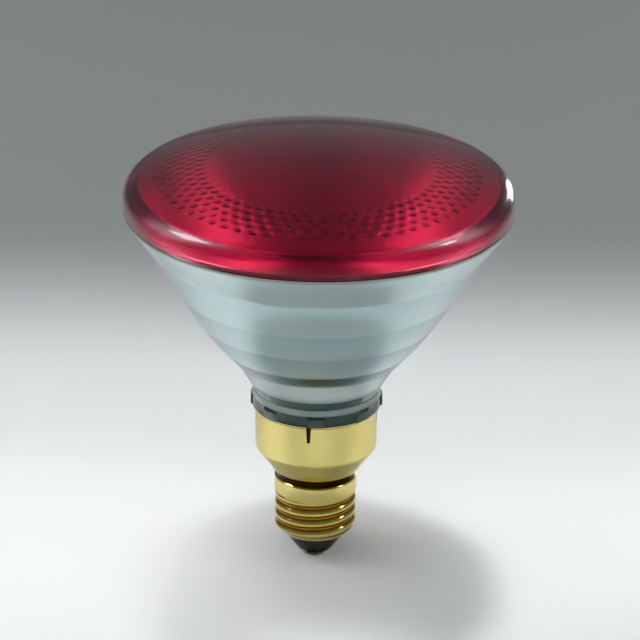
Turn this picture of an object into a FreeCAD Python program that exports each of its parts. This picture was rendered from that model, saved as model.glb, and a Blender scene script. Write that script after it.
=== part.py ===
import FreeCAD, Part
import math
import os
import re

import Sketcher

# An infrared heat lamp of the 121 mm pressed-glass reflector kind, in millimetres.
# The lamp's axis is Z, the red lens is up and the origin is the lowest point of the
# screw cap, where its centre contact touches the holder. -Y is the side that is seen.

Vector = FreeCAD.Vector
doc = FreeCAD.newDocument("heat_lamp")

# Driving dimensions. Heights are built up the axis from the tip of the cap, each part
# of the lamp standing on the one below it, so each of these is a length, not a place.
SIZES = {
    # Centre contact and the solder drop on it
    "drop_depth": 0.9,
    "drop_radius": 3.2,
    "drop_flat": 1.2,
    "contact_radius": 4.8,
    "contact_thickness": 0.4,
    "contact_hole": 0.9,
    # Dark glass insulator
    "insulator_foot": 5.8,
    "insulator_cone": 6.1,
    "insulator_rise": 1.5,
    "wire_clearance": 0.2,
    # Screw shell with its rounded thread
    "thread_radius": 13.0,
    "thread_depth": 0.95,
    "thread_pitch": 3.63,
    "thread_turns": 4.0,
    "thread_lead_in": 0.4,
    "thread_run_out": 0.32,
    "thread_crest_share": 0.5,
    "thread_foot_share": 0.84,
    "shell_wall": 0.35,
    "shell_lip_radius": 10.6,
    "taper_rise": 2.5,
    "collar_rise": 0.1,
    "collar_height": 4.7,
    "waist_depth": 0.5,
    "waist_height": 3.0,
    "flare_height": 1.4,
    # Brass skirt
    "lip_overhang": 0.8,
    "cone_height": 7.6,
    "corner_round": 1.5,
    "skirt_radius": 19.2,
    "sleeve_height": 14.2,
    "skirt_wall": 0.45,
    "skirt_clearance": 0.1,
    "slit_count": 4,
    "slit_turn": 7.0,
    "slit_width": 1.7,
    "slit_foot": 0.9,
    "slit_depth": 5.8,
    # Pressed glass reflector, outside. The band edges are shares of the lens radius,
    # and each lies a wall's drop under the mirror's curve.
    "spigot_length": 8.0,
    "spigot_wall": 3.85,
    "bead_overhang": 1.15,
    "bead_height": 4.0,
    "throat_inset": 0.4,
    "throat_rise": 2.0,
    "neck_share": 0.425,
    "neck_drop": 5.65,
    "ring_four_share": 0.513,
    "ring_four_drop": 5.25,
    "ring_three_share": 0.628,
    "ring_three_drop": 4.75,
    "ring_two_share": 0.739,
    "ring_two_drop": 4.6,
    "ring_one_share": 0.853,
    "ring_one_drop": 4.2,
    "band_round": 60.0,
    "flange_height": 1.0,
    "boss_count": 8,
    "boss_width": 5.4,
    "boss_height": 3.4,
    "boss_rise": 0.45,
    "key_width": 0.8,
    "key_height": 2.6,
    # Pressed glass reflector, inside
    "focal_length": 13.5,
    "vertex_rise": 9.0,
    "pocket_rise": 13.0,
    "pocket_middle_rise": 6.0,
    "pocket_flare": 3.3,
    "floor_flare": 2.2,
    "floor_rise": 1.0,
    "floor_thickness": 4.0,
    "film_thickness": 0.15,
    # Red lens
    "lens_radius": 60.5,
    "mouth_inset": 4.8,
    "rim_land": 3.3,
    "rim_round": 5.2,
    "dome_radius": 190.0,
    "lens_wall": 3.2,
    # Leads through the glass floor
    "ferrule_inset": 3.2,
    "ferrule_radius": 2.6,
    "ferrule_wall": 0.35,
    "ferrule_rise": 0.6,
    "ferrule_drop": 2.4,
    "tube_radius": 2.4,
    "tube_bore": 1.4,
    "tube_length": 7.5,
    # Filament mount
    "rod_radius": 0.75,
    "rod_rise": 1.6,
    "coil_radius": 1.25,
    "coil_wire": 0.18,
    "coil_leg": 1.5,
    "bridge_drop": 6.0,
    "bridge_radius": 1.4,
    "bridge_overhang": 1.6,
    "support_wire": 0.2,
    "support_clearance": 0.1,
    "support_spacing": 7.0,
    # Wires and solder inside the cap
    "wire_radius": 0.5,
    "wire_bend": 5.0,
    "centre_wire_drop": 11.1,
    "centre_wire_slant": 14.0,
    "shell_wire_drop": 12.1,
    "shell_wire_slant": 8.0,
    "solder_radius": 1.7,
    "solder_sink": 0.57,
}

dims = doc.addObject("Spreadsheet::Sheet", "Dims")
for row, (alias, value) in enumerate(SIZES.items(), start=1):
    dims.set(f"A{row}", alias.replace("_", " "))
    dims.set(f"B{row}", str(value))
    dims.setAlias(f"B{row}", alias)
doc.recompute()

# Sizes that follow from the driving ones, written in the sheet's own words.
CONTACT_TOP = "(drop_depth + contact_thickness)"
SHELL_LIP = f"({CONTACT_TOP} + insulator_cone)"
ROOT = "(thread_radius - thread_depth)"
SHELL_BORE = f"({ROOT} - shell_wall)"
TAPER = "(taper_rise / (thread_radius - shell_lip_radius))"
ROOT_HEIGHT = f"({SHELL_LIP} + ({ROOT} - shell_lip_radius) * {TAPER})"
INSULATOR_TOP = f"({SHELL_LIP} + taper_rise + insulator_rise)"
THREAD_START = f"({SHELL_LIP} + thread_lead_in)"
COLLAR = "(thread_radius + collar_rise)"
COLLAR_BOTTOM = f"({THREAD_START} + thread_turns * thread_pitch - thread_run_out)"
COLLAR_TOP = f"({COLLAR_BOTTOM} + collar_height)"
COLLAR_BORE = f"({COLLAR} - shell_wall)"
WAIST = f"({COLLAR} - waist_depth - collar_rise)"
LIP = "(thread_radius + lip_overhang)"
LIP_HEIGHT = f"({COLLAR_TOP} + waist_height)"
CORNER_HEIGHT = f"({LIP_HEIGHT} + cone_height)"
SKIRT_TOP = f"({CORNER_HEIGHT} + sleeve_height)"
CONE = f"((skirt_radius - {LIP}) / cone_height)"
CONE_FACE = f"({LIP} - skirt_wall + shell_wall * {CONE})"
FLARE_FACE = f"({LIP} - skirt_wall + flare_height * {CONE})"
SPIGOT = "(skirt_radius - skirt_wall - skirt_clearance)"
SPIGOT_BORE = f"({SPIGOT} - spigot_wall)"
BEAD = "(skirt_radius + bead_overhang)"
VERTEX = f"({SKIRT_TOP} + vertex_rise)"
POCKET_TOP = f"({VERTEX} + pocket_rise)"
POCKET_EDGE = "(2 * sqrt(focal_length * pocket_rise))"
POCKET_MIDDLE = f"({VERTEX} + pocket_middle_rise)"
FLOOR = f"({SPIGOT_BORE} + floor_flare)"
POCKET = f"({FLOOR} + pocket_flare)"
FLOOR_HEIGHT = f"({VERTEX} + floor_rise)"
FLOOR_UNDER = f"({FLOOR_HEIGHT} - floor_thickness)"
FERRULE_FOOT = f"({FLOOR_UNDER} - ferrule_drop)"
FERRULE_X = f"({SPIGOT_BORE} - ferrule_radius - ferrule_inset)"
MOUTH = "(lens_radius - mouth_inset)"
SEAL = f"({VERTEX} + film_thickness + {MOUTH} ^ 2 / (4 * focal_length))"
RIM_CENTRE = "(lens_radius - rim_round)"
RIM_HEIGHT = f"({SEAL} + rim_land)"
DOME_RISE = f"sqrt((dome_radius - rim_round) ^ 2 - {RIM_CENTRE} ^ 2)"
DOME_CENTRE = f"({RIM_HEIGHT} - {DOME_RISE})"
FOCUS = f"({VERTEX} + focal_length)"
BRIDGE_HEIGHT = f"({FOCUS} - bridge_drop)"

# The bowl's parabola is drawn as this many arcs, each of the parabola's own curvature.
BOWL_STEPS = 4


def named(text):
    """Turns the sheet's words in an expression into references to its cells."""
    def refer(found):
        word = found.group(0)
        return f"Dims.{word}" if word in SIZES else word
    return re.sub(r"[a-z_]+", refer, str(text))


def size(text):
    """The present value of an expression in the sheet's words."""
    return float(dims.evalExpression(named(text)))


def origin_plane(body, role):
    """One of a body's own three origin planes."""
    for feature in body.Origin.OriginFeatures:
        if feature.Role == role:
            return feature
    raise ValueError(role)


def new_body(name):
    """An empty body whose label is the name of the piece."""
    body = doc.addObject("PartDesign::Body", name)
    body.Label = name
    return body


def new_sketch(body, name, role="XZ_Plane"):
    """A sketch lying on one of the body's origin planes."""
    sketch = body.newObject("Sketcher::SketchObject", name)
    sketch.AttachmentSupport = [(origin_plane(body, role), "")]
    sketch.MapMode = "FlatFace"
    return sketch


def drive(sketch, kind, first, second, text, label):
    """Adds a dimension to a sketch and binds it to an expression of the sheet."""
    value = size(text)
    places = list(first) + (list(second) if second else [])
    index = sketch.addConstraint(Sketcher.Constraint(kind, *places, value))
    sketch.renameConstraint(index, label)
    sketch.setExpression(f"Constraints.{label}", named(text))


def pin_point(sketch, place, across, up, label):
    """Holds one point of a sketch at an expression's distances from the origin."""
    if str(across) == "0":
        sketch.addConstraint(Sketcher.Constraint("PointOnObject", *place, -2))
    else:
        drive(sketch, "DistanceX", (-1, 1), place, across, f"{label}_across")
    if str(up) == "0":
        sketch.addConstraint(Sketcher.Constraint("PointOnObject", *place, -1))
    else:
        drive(sketch, "DistanceY", (-1, 1), place, up, f"{label}_up")


def arc_between(start, end, radius, bulge):
    """A circular arc from start to end that bulges to the left (+1) or the right (-1)."""
    middle = (start + end) * 0.5
    chord = end - start
    half = chord.Length / 2
    across = Vector(-chord.y, chord.x, 0).normalize() * bulge
    centre = middle - across * math.sqrt(radius * radius - half * half)
    first, last = (start, end) if bulge < 0 else (end, start)
    from_angle = math.atan2(first.y - centre.y, first.x - centre.x)
    to_angle = math.atan2(last.y - centre.y, last.x - centre.x)
    if to_angle < from_angle:
        to_angle += 2 * math.pi
    return Part.ArcOfCircle(Part.Circle(centre, Vector(0, 0, 1), radius), from_angle, to_angle)


def draw_outline(sketch, outline):
    """Draws a closed outline whose corners and arcs follow the sheet.

    Each entry is (across, up), the corner's place, with an optional third item for the
    edge to the next corner: ("arc", radius, bulge).
    """
    count = len(outline)
    corners = [Vector(size(entry[0]), size(entry[1]), 0) for entry in outline]
    heads = []
    for place, entry in enumerate(outline):
        start = corners[place]
        end = corners[(place + 1) % count]
        edge = entry[2] if len(entry) > 2 else ("line",)
        if edge[0] == "line":
            index = sketch.addGeometry(Part.LineSegment(start, end), False)
            heads.append((index, 1, 2))
        else:
            arc = arc_between(start, end, size(edge[1]), edge[2])
            index = sketch.addGeometry(arc, False)
            flipped = sketch.Geometry[index].StartPoint.distanceToPoint(start) > 1e-6
            heads.append((index, 2, 1) if flipped else (index, 1, 2))
            drive(sketch, "Radius", (index,), (), edge[1], f"edge_{place}_radius")
    for place in range(count):
        index, first, last = heads[place]
        following, next_first, next_last = heads[(place + 1) % count]
        joint = (index, last, following, next_first)
        sketch.addConstraint(Sketcher.Constraint("Coincident", *joint))
        pin_point(sketch, (index, first), outline[place][0], outline[place][1], f"corner_{place}")


def bowl_arcs(vertex, rising):
    """Corners of the bowl's parabola, joined by arcs of the parabola's own curvature."""
    places = []
    for step in range(BOWL_STEPS + 1):
        across = f"({POCKET_EDGE} + ({MOUTH} - {POCKET_EDGE}) * {step} / {BOWL_STEPS})"
        places.append((across, f"({vertex} + {across} ^ 2 / (4 * focal_length))"))
    bulge = -1 if rising else 1
    outline = []
    for step in range(BOWL_STEPS):
        middle = f"({POCKET_EDGE} + ({MOUTH} - {POCKET_EDGE}) * ({step} + 0.5) / {BOWL_STEPS})"
        curve = f"2 * focal_length * (1 + ({middle} / (2 * focal_length)) ^ 2) ^ 1.5"
        start = places[step] if rising else places[step + 1]
        outline.append((start[0], start[1], ("arc", curve, bulge)))
    if not rising:
        outline.reverse()
    outline.append(places[-1] if rising else places[0])
    return outline


def band_edge(name, edge=("line",)):
    """One edge of the bowl's outside bands, a wall's drop under the mirror's curve."""
    across = f"({name}_share * lens_radius)"
    return (across, f"({VERTEX} + {across} ^ 2 / (4 * focal_length) - {name}_drop)", edge)


def turned(body, outline, name="Turned", feature="PartDesign::Revolution"):
    """Turns an outline round the lamp's axis, to add to the body or to cut from it."""
    sketch = new_sketch(body, name + "Sketch")
    draw_outline(sketch, outline)
    turn = body.newObject(feature, name)
    turn.Profile = sketch
    turn.ReferenceAxis = (sketch, ["V_Axis"])
    turn.Angle = 360
    sketch.Visibility = False
    body.Tip = turn
    return turn


def bind(feature, **values):
    """Binds a feature's properties to expressions of the sheet."""
    for place, text in values.items():
        feature.setExpression(place.replace("__", "."), named(text))


def patterned(body, feature, name, copies):
    """Repeats a feature evenly round the lamp's axis."""
    pattern = body.newObject("PartDesign::PolarPattern", name)
    pattern.Originals = [feature]
    pattern.Axis = (origin_plane(body, "Z_Axis"), [""])
    pattern.Angle = 360
    pattern.setExpression("Occurrences", named(copies))
    body.Tip = pattern
    return pattern


def bound_bar(sketch, left, right, near, far):
    """A rectangle on a sketch, bound on all four sides."""
    low = Vector(size(left), size(near), 0)
    high = Vector(size(right), size(far), 0)
    corners = [low, Vector(high.x, low.y, 0), high, Vector(low.x, high.y, 0)]
    names = [(left, near), (right, near), (right, far), (left, far)]
    for place in range(4):
        sketch.addGeometry(Part.LineSegment(corners[place], corners[(place + 1) % 4]), False)
    for place in range(4):
        sketch.addConstraint(Sketcher.Constraint("Coincident", place, 2, (place + 1) % 4, 1))
        pin_point(sketch, (place, 1), names[place][0], names[place][1], f"bar_{place}")


def make_lens():
    """The red pressed lens: a shallow dome, a rounded rim and a flat sealing face."""
    body = new_body("lens")
    reach = "(rim_round / (dome_radius - rim_round))"
    crown_across = f"({RIM_CENTRE} * (1 + {reach}))"
    crown_up = f"({RIM_HEIGHT} + {DOME_RISE} * {reach})"
    inner = "(dome_radius - lens_wall)"
    inner_up = f"({DOME_CENTRE} + sqrt({inner} ^ 2 - {RIM_CENTRE} ^ 2))"
    turned(body, [
        (RIM_CENTRE, SEAL),
        ("lens_radius", SEAL),
        ("lens_radius", RIM_HEIGHT, ("arc", "rim_round", -1)),
        (crown_across, crown_up, ("arc", "dome_radius", -1)),
        ("0", f"{DOME_CENTRE} + dome_radius"),
        ("0", f"{DOME_CENTRE} + {inner}", ("arc", inner, 1)),
        (RIM_CENTRE, inner_up),
    ])
    return body


def make_reflector():
    """The clear pressed bowl: stepped bands, neck, bead with bosses, and cap spigot."""
    body = new_body("reflector")
    bowed = ("arc", "band_round", -1)
    turned(body, [
        ("0", FLOOR_UNDER),
        (SPIGOT_BORE, FLOOR_UNDER),
        (SPIGOT_BORE, f"{SKIRT_TOP} - spigot_length"),
        (SPIGOT, f"{SKIRT_TOP} - spigot_length"),
        (SPIGOT, SKIRT_TOP),
        (BEAD, SKIRT_TOP),
        (BEAD, f"{SKIRT_TOP} + bead_height"),
        (f"{BEAD} - throat_inset", f"{SKIRT_TOP} + bead_height + throat_rise",
         ("arc", "band_round", 1)),
        band_edge("neck"),
        band_edge("ring_four", bowed),
        band_edge("ring_three", bowed),
        band_edge("ring_two", bowed),
        band_edge("ring_one"),
        ("lens_radius", f"{SEAL} - flange_height"),
        ("lens_radius", SEAL),
        (MOUTH, SEAL),
        *bowl_arcs(VERTEX, False),
        (POCKET, POCKET_MIDDLE),
        (FLOOR, FLOOR_HEIGHT),
        ("0", FLOOR_HEIGHT),
    ])
    boss_sketch = new_sketch(body, "BossSketch", "XY_Plane")
    bound_bar(boss_sketch, "-boss_width / 2", "boss_width / 2",
              f"-({BEAD} + boss_rise)", f"-({BEAD} - boss_rise)")
    bind(boss_sketch, AttachmentOffset__Base__z=SKIRT_TOP)
    boss = body.newObject("PartDesign::Pad", "Boss")
    boss.Profile = boss_sketch
    bind(boss, Length="boss_height")
    patterned(body, boss, "Bosses", "boss_count")
    key_sketch = new_sketch(body, "KeySketch", "XY_Plane")
    bound_bar(key_sketch, "-key_width / 2", "key_width / 2",
              f"-({SPIGOT} + skirt_wall)", f"-({SPIGOT} - skirt_wall)")
    bind(key_sketch, AttachmentOffset__Base__z=f"{SKIRT_TOP} - key_height",
         AttachmentOffset__Rotation__Angle="-slit_turn")
    key = body.newObject("PartDesign::Pad", "Key")
    key.Profile = key_sketch
    bind(key, Length="key_height")
    patterned(body, key, "Keys", "slit_count")
    holes = new_sketch(body, "HoleSketch", "XY_Plane")
    for place, (across, radius) in enumerate([(f"-{FERRULE_X}", "ferrule_radius"),
                                              (FERRULE_X, "ferrule_radius"),
                                              ("0", "tube_bore")]):
        ring = Part.Circle(Vector(size(across), 0, 0), Vector(0, 0, 1), size(radius))
        holes.addGeometry(ring, False)
        drive(holes, "Radius", (place,), (), radius, f"hole_{place}")
        pin_point(holes, (place, 3), across, "0", f"hole_{place}_centre")
    bind(holes, AttachmentOffset__Base__z=FLOOR_HEIGHT)
    cut = body.newObject("PartDesign::Pocket", "LeadHoles")
    cut.Profile = holes
    bind(cut, Length="2 * floor_thickness")
    body.Tip = cut
    return body


def make_coating():
    """The aluminium film on the bowl and the pocket's wall, drawn thicker than it is."""
    body = new_body("reflector_coating")
    turned(body, [
        *bowl_arcs(VERTEX, False),
        (POCKET, POCKET_MIDDLE),
        (FLOOR, FLOOR_HEIGHT),
        (f"{FLOOR} - film_thickness", FLOOR_HEIGHT),
        (f"{POCKET} - film_thickness", POCKET_MIDDLE),
        *bowl_arcs(f"({VERTEX} + film_thickness)", True),
    ])
    return body


def make_skirt():
    """The brass skirt: a drawn sleeve with slits in its top edge and a cone below."""
    body = new_body("skirt")
    slant = f"sqrt(1 + {CONE} ^ 2)"
    outside = f"(corner_round * ({slant} - 1) / {CONE})"
    inside_round = "(corner_round - skirt_wall)"
    inside = f"({inside_round} * ({slant} - 1) / {CONE})"
    turned(body, [
        (f"{LIP} - skirt_wall", LIP_HEIGHT),
        (LIP, LIP_HEIGHT),
        (f"skirt_radius - {outside} * {CONE} / {slant}", f"{CORNER_HEIGHT} - {outside} / {slant}",
         ("arc", "corner_round", -1)),
        ("skirt_radius", f"{CORNER_HEIGHT} + {outside}"),
        ("skirt_radius", SKIRT_TOP),
        ("skirt_radius - skirt_wall", SKIRT_TOP),
        ("skirt_radius - skirt_wall", f"{CORNER_HEIGHT} + {inside}", ("arc", inside_round, 1)),
        (f"skirt_radius - skirt_wall - {inside} * {CONE} / {slant}",
         f"{CORNER_HEIGHT} - {inside} / {slant}"),
    ])
    slit_sketch = new_sketch(body, "SlitSketch")
    draw_outline(slit_sketch, [
        ("-slit_foot / 2", f"{SKIRT_TOP} - slit_depth"),
        ("slit_foot / 2", f"{SKIRT_TOP} - slit_depth"),
        ("slit_width / 2", f"{SKIRT_TOP} + skirt_wall"),
        ("-slit_width / 2", f"{SKIRT_TOP} + skirt_wall"),
    ])
    slit_sketch.AttachmentOffset = FreeCAD.Placement(Vector(), FreeCAD.Rotation(Vector(0, 1, 0), 1))
    bind(slit_sketch, AttachmentOffset__Rotation__Angle="-slit_turn")
    slit = body.newObject("PartDesign::Pocket", "Slit")
    slit.Profile = slit_sketch
    bind(slit, Length="skirt_radius + skirt_wall")
    slit.Reversed = True
    patterned(body, slit, "Slits", "slit_count")
    return body


def make_screw_shell():
    """The rolled brass screw shell: taper, rounded thread, plain collar, waist and flare."""
    body = new_body("screw_shell")
    turned(body, [
        ("shell_lip_radius - shell_wall", SHELL_LIP),
        ("shell_lip_radius", SHELL_LIP),
        (ROOT, ROOT_HEIGHT),
        (ROOT, f"{COLLAR_BOTTOM} - thread_depth"),
        (COLLAR, COLLAR_BOTTOM),
        (COLLAR, COLLAR_TOP),
        (WAIST, f"{COLLAR_TOP} + shell_wall"),
        (WAIST, LIP_HEIGHT),
        (CONE_FACE, f"{LIP_HEIGHT} + shell_wall"),
        (FLARE_FACE, f"{LIP_HEIGHT} + flare_height"),
        (f"{FLARE_FACE} - shell_wall", f"{LIP_HEIGHT} + flare_height"),
        (f"{WAIST} - shell_wall", f"{LIP_HEIGHT} + shell_wall"),
        (f"{WAIST} - shell_wall", COLLAR_TOP),
        (COLLAR_BORE, f"{COLLAR_TOP} - shell_wall"),
        (COLLAR_BORE, COLLAR_BOTTOM),
        (SHELL_BORE, f"{COLLAR_BOTTOM} - thread_depth"),
        (SHELL_BORE, ROOT_HEIGHT),
    ])
    crest = "(thread_radius - thread_depth / 2)"
    buried = f"({ROOT} - shell_wall / 2)"
    crest_half = "(thread_crest_share * thread_pitch / 2)"
    foot_half = "(thread_foot_share * thread_pitch / 2)"
    crest_round = f"({crest_half} ^ 2 + thread_depth ^ 2 / 4) / thread_depth"
    ridge_sketch = new_sketch(body, "RidgeSketch")
    draw_outline(ridge_sketch, [
        (buried, f"{THREAD_START} - {foot_half}"),
        (crest, f"{THREAD_START} - {crest_half}", ("arc", crest_round, -1)),
        (crest, f"{THREAD_START} + {crest_half}"),
        (buried, f"{THREAD_START} + {foot_half}"),
    ])
    ridge = body.newObject("PartDesign::AdditiveHelix", "Ridge")
    ridge.Profile = ridge_sketch
    ridge.ReferenceAxis = (ridge_sketch, ["V_Axis"])
    ridge.Mode = 1
    bind(ridge, Pitch="thread_pitch", Turns="thread_turns")
    body.Tip = ridge
    outside = "(thread_radius + thread_depth)"
    turned(body, [
        ("shell_lip_radius", f"{SHELL_LIP} - thread_pitch"),
        (outside, f"{SHELL_LIP} - thread_pitch"),
        (outside, f"{SHELL_LIP} + ({outside} - shell_lip_radius) * {TAPER}"),
        ("shell_lip_radius", SHELL_LIP),
    ], "Trim", "PartDesign::Groove")
    turned(body, [
        ("contact_radius", f"{COLLAR_BOTTOM} - thread_depth"),
        (SHELL_BORE, f"{COLLAR_BOTTOM} - thread_depth"),
        (COLLAR_BORE, COLLAR_BOTTOM),
        (COLLAR_BORE, f"{COLLAR_TOP} - shell_wall"),
        ("contact_radius", f"{COLLAR_TOP} - shell_wall"),
    ], "CollarBore", "PartDesign::Groove")
    return body


def make_insulator():
    """The dark glass plug that fills the foot of the shell and carries the contact."""
    body = new_body("insulator")
    turned(body, [
        ("wire_radius + wire_clearance", CONTACT_TOP),
        ("insulator_foot", CONTACT_TOP),
        ("shell_lip_radius - shell_wall", SHELL_LIP),
        (SHELL_BORE, ROOT_HEIGHT),
        (SHELL_BORE, INSULATOR_TOP),
        ("wire_radius + wire_clearance", INSULATOR_TOP),
    ])
    return body


def make_contact():
    """The centre contact: a brass washer with a hole for the lead."""
    body = new_body("centre_contact")
    turned(body, [
        ("contact_hole", "drop_depth"),
        ("contact_radius", "drop_depth"),
        ("contact_radius", CONTACT_TOP),
        ("contact_hole", CONTACT_TOP),
    ])
    return body


def make_contact_solder():
    """The solder drop that closes the hole in the centre contact, worn flat at its tip."""
    body = new_body("contact_solder")
    crown = "(((drop_radius - drop_flat) ^ 2 + drop_depth ^ 2) / (2 * drop_depth))"
    turned(body, [
        ("0", "0"),
        ("drop_flat", "0", ("arc", crown, -1)),
        ("drop_radius", "drop_depth"),
        ("0", "drop_depth"),
    ])
    return body


def make_ferrule(name, side):
    """A thin metal cup sealed into the glass floor, which brings one lead through it."""
    body = new_body(name)
    turned(body, [
        ("0", FERRULE_FOOT),
        ("ferrule_radius", FERRULE_FOOT),
        ("ferrule_radius", f"{FLOOR_HEIGHT} + ferrule_rise"),
        ("ferrule_radius - ferrule_wall", f"{FLOOR_HEIGHT} + ferrule_rise"),
        ("ferrule_radius - ferrule_wall", f"{FERRULE_FOOT} + ferrule_wall"),
        ("0", f"{FERRULE_FOOT} + ferrule_wall"),
    ])
    bind(body, Placement__Base__x=f"{side} * {FERRULE_X}")
    return body


def make_exhaust_tip():
    """The stub of the exhaust tube under the floor, melted shut at its lower end."""
    body = new_body("exhaust_tip")
    foot = f"({FLOOR_UNDER} - tube_length)"
    turned(body, [
        ("tube_bore", FLOOR_UNDER),
        ("tube_bore", f"{foot} + tube_radius + tube_bore", ("arc", "tube_bore", 1)),
        ("0", f"{foot} + tube_radius"),
        ("0", foot, ("arc", "tube_radius", -1)),
        ("tube_radius", f"{foot} + tube_radius"),
        ("tube_radius", FLOOR_UNDER),
    ])
    return body


def make_rod(name, side):
    """A stiff lead rod that stands in its ferrule and reaches past the filament."""
    rod = doc.addObject("Part::Cylinder", name)
    rod.Label = name
    foot = f"{FERRULE_FOOT} + ferrule_wall"
    bind(rod, Radius="rod_radius", Height=f"{FOCUS} + rod_rise - ({foot})",
         Placement__Base__x=f"{side} * {FERRULE_X}", Placement__Base__z=foot)
    return rod


def make_bridge(rods):
    """The glass bridge that ties the two rods together and holds the support wires."""
    bar = doc.addObject("Part::Cylinder", "bridge_bar")
    bar.Placement.Rotation = FreeCAD.Rotation(Vector(0, 1, 0), 90)
    half = f"({FERRULE_X} + bridge_overhang)"
    bind(bar, Radius="bridge_radius", Height=f"2 * {half}",
         Placement__Base__x=f"-{half}", Placement__Base__z=BRIDGE_HEIGHT)
    both = doc.addObject("Part::MultiFuse", "bridge_rods")
    both.Shapes = rods
    bridge = doc.addObject("Part::Cut", "glass_bridge")
    bridge.Label = "glass_bridge"
    bridge.Base = bar
    bridge.Tool = both
    return bridge


def make_filament():
    """The tungsten coil between the rods, drawn as the sleeve that its turns fill."""
    body = new_body("filament")
    half = f"({FERRULE_X} - rod_radius)"
    turned(body, [
        ("0", f"-{half}"),
        ("coil_wire", f"-{half}"),
        ("coil_wire", f"-{half} + coil_leg"),
        ("coil_radius", f"-{half} + coil_leg"),
        ("coil_radius", f"{half} - coil_leg"),
        ("coil_wire", f"{half} - coil_leg"),
        ("coil_wire", half),
        ("0", half),
    ])
    body.Placement.Rotation = FreeCAD.Rotation(Vector(0, 1, 0), 90)
    bind(body, Placement__Base__z=FOCUS)
    return body


def make_support(name, side):
    """A fine wire that rises from the bridge and loops round the coil."""
    loop = doc.addObject("Part::Torus", name + "_loop")
    loop.Placement.Rotation = FreeCAD.Rotation(Vector(0, 1, 0), -90)
    across = f"{side} * support_spacing / 2"
    ring = "(coil_radius + support_clearance + support_wire)"
    bind(loop, Radius1=ring, Radius2="support_wire",
         Placement__Base__x=across, Placement__Base__z=FOCUS)
    stem = doc.addObject("Part::Cylinder", name + "_stem")
    foot = f"({BRIDGE_HEIGHT} + bridge_radius)"
    bind(stem, Radius="support_wire", Height=f"{FOCUS} - {ring} - {foot}",
         Placement__Base__x=across, Placement__Base__z=foot)
    support = doc.addObject("Part::MultiFuse", name)
    support.Label = name
    support.Shapes = [loop, stem]
    return support


def bent_wire(name, places, radius, bend):
    """A round wire along a route in the XZ plane, with an equal bend at each corner.

    The route's corners are held where its straight runs would cross.
    """
    body = new_body(name)
    route = new_sketch(body, name + "_route")
    corners = [Vector(size(place[0]), size(place[1]), 0) for place in places]
    trims = [0.0]
    for before, corner, after in zip(corners, corners[1:], corners[2:]):
        turn = (corner - before).getAngle(after - corner)
        trims.append(size(bend) * math.tan(turn / 2))
    trims.append(0.0)
    runs = []
    for place in range(len(corners) - 1):
        along = (corners[place + 1] - corners[place]).normalize()
        start = corners[place] + along * trims[place]
        end = corners[place + 1] - along * trims[place + 1]
        runs.append(route.addGeometry(Part.LineSegment(start, end), False))
    for place in range(1, len(corners) - 1):
        lead = route.Geometry[runs[place - 1]].EndPoint
        tail = route.Geometry[runs[place]].StartPoint
        side = (corners[place] - corners[place - 1]).cross(corners[place + 1] - corners[place]).z
        arc = arc_between(lead, tail, size(bend), -1 if side > 0 else 1)
        index = route.addGeometry(arc, False)
        first, last = (1, 2) if side > 0 else (2, 1)
        route.addConstraint(Sketcher.Constraint("Tangent", runs[place - 1], 2, index, first))
        route.addConstraint(Sketcher.Constraint("Tangent", index, last, runs[place], 1))
        drive(route, "Radius", (index,), (), bend, f"bend_{place}")
        mark = route.addGeometry(Part.Point(corners[place]), True)
        route.addConstraint(Sketcher.Constraint("PointOnObject", mark, 1, runs[place - 1]))
        route.addConstraint(Sketcher.Constraint("PointOnObject", mark, 1, runs[place]))
        pin_point(route, (mark, 1), places[place][0], places[place][1], f"corner_{place}")
    pin_point(route, (runs[0], 1), places[0][0], places[0][1], "start")
    pin_point(route, (runs[-1], 2), places[-1][0], places[-1][1], "end")
    section = new_sketch(body, name + "_section", "XY_Plane")
    ring = Part.Circle(Vector(corners[0].x, 0, 0), Vector(0, 0, 1), size(radius))
    section.addGeometry(ring, False)
    drive(section, "Radius", (0,), (), radius, "wire")
    pin_point(section, (0, 3), places[0][0], "0", "wire_centre")
    bind(section, AttachmentOffset__Base__z=places[0][1])
    wire = body.newObject("PartDesign::AdditivePipe", name + "_wire")
    wire.Profile = section
    wire.Spine = route
    body.Tip = wire
    return body


def make_shell_solder(wire):
    """The solder that joins a lead to the inside of the shell's collar."""
    dab = doc.addObject("Part::Sphere", "solder_dab")
    bind(dab, Radius="solder_radius", Placement__Base__x=f"{COLLAR_BORE} - solder_sink",
         Placement__Base__z=f"{COLLAR_BOTTOM} + collar_height / 2")
    inside = doc.addObject("Part::Cylinder", "collar_bore")
    bind(inside, Radius=COLLAR_BORE, Height="collar_height - shell_wall",
         Placement__Base__z=COLLAR_BOTTOM)
    lump = doc.addObject("Part::Common", "solder_lump")
    lump.Base = dab
    lump.Tool = inside
    solder = doc.addObject("Part::Cut", "shell_solder")
    solder.Label = "shell_solder"
    solder.Base = lump
    solder.Tool = wire
    return solder


def faults(pieces):
    """Names what failed to compute, is left loose, or isn't one sound solid."""
    found = []
    for item in doc.Objects:
        if "Invalid" in item.State or "Error" in item.State:
            found.append(f"{item.Name} didn't compute")
        if item.TypeId == "Sketcher::SketchObject" and not item.FullyConstrained:
            found.append(f"{item.Name} isn't fully held")
    for piece in pieces:
        shape = piece.Shape
        if shape.isNull() or not shape.isValid() or len(shape.Solids) != 1 or shape.Volume <= 0:
            found.append(f"{piece.Label} isn't one sound solid")
    return found


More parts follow.
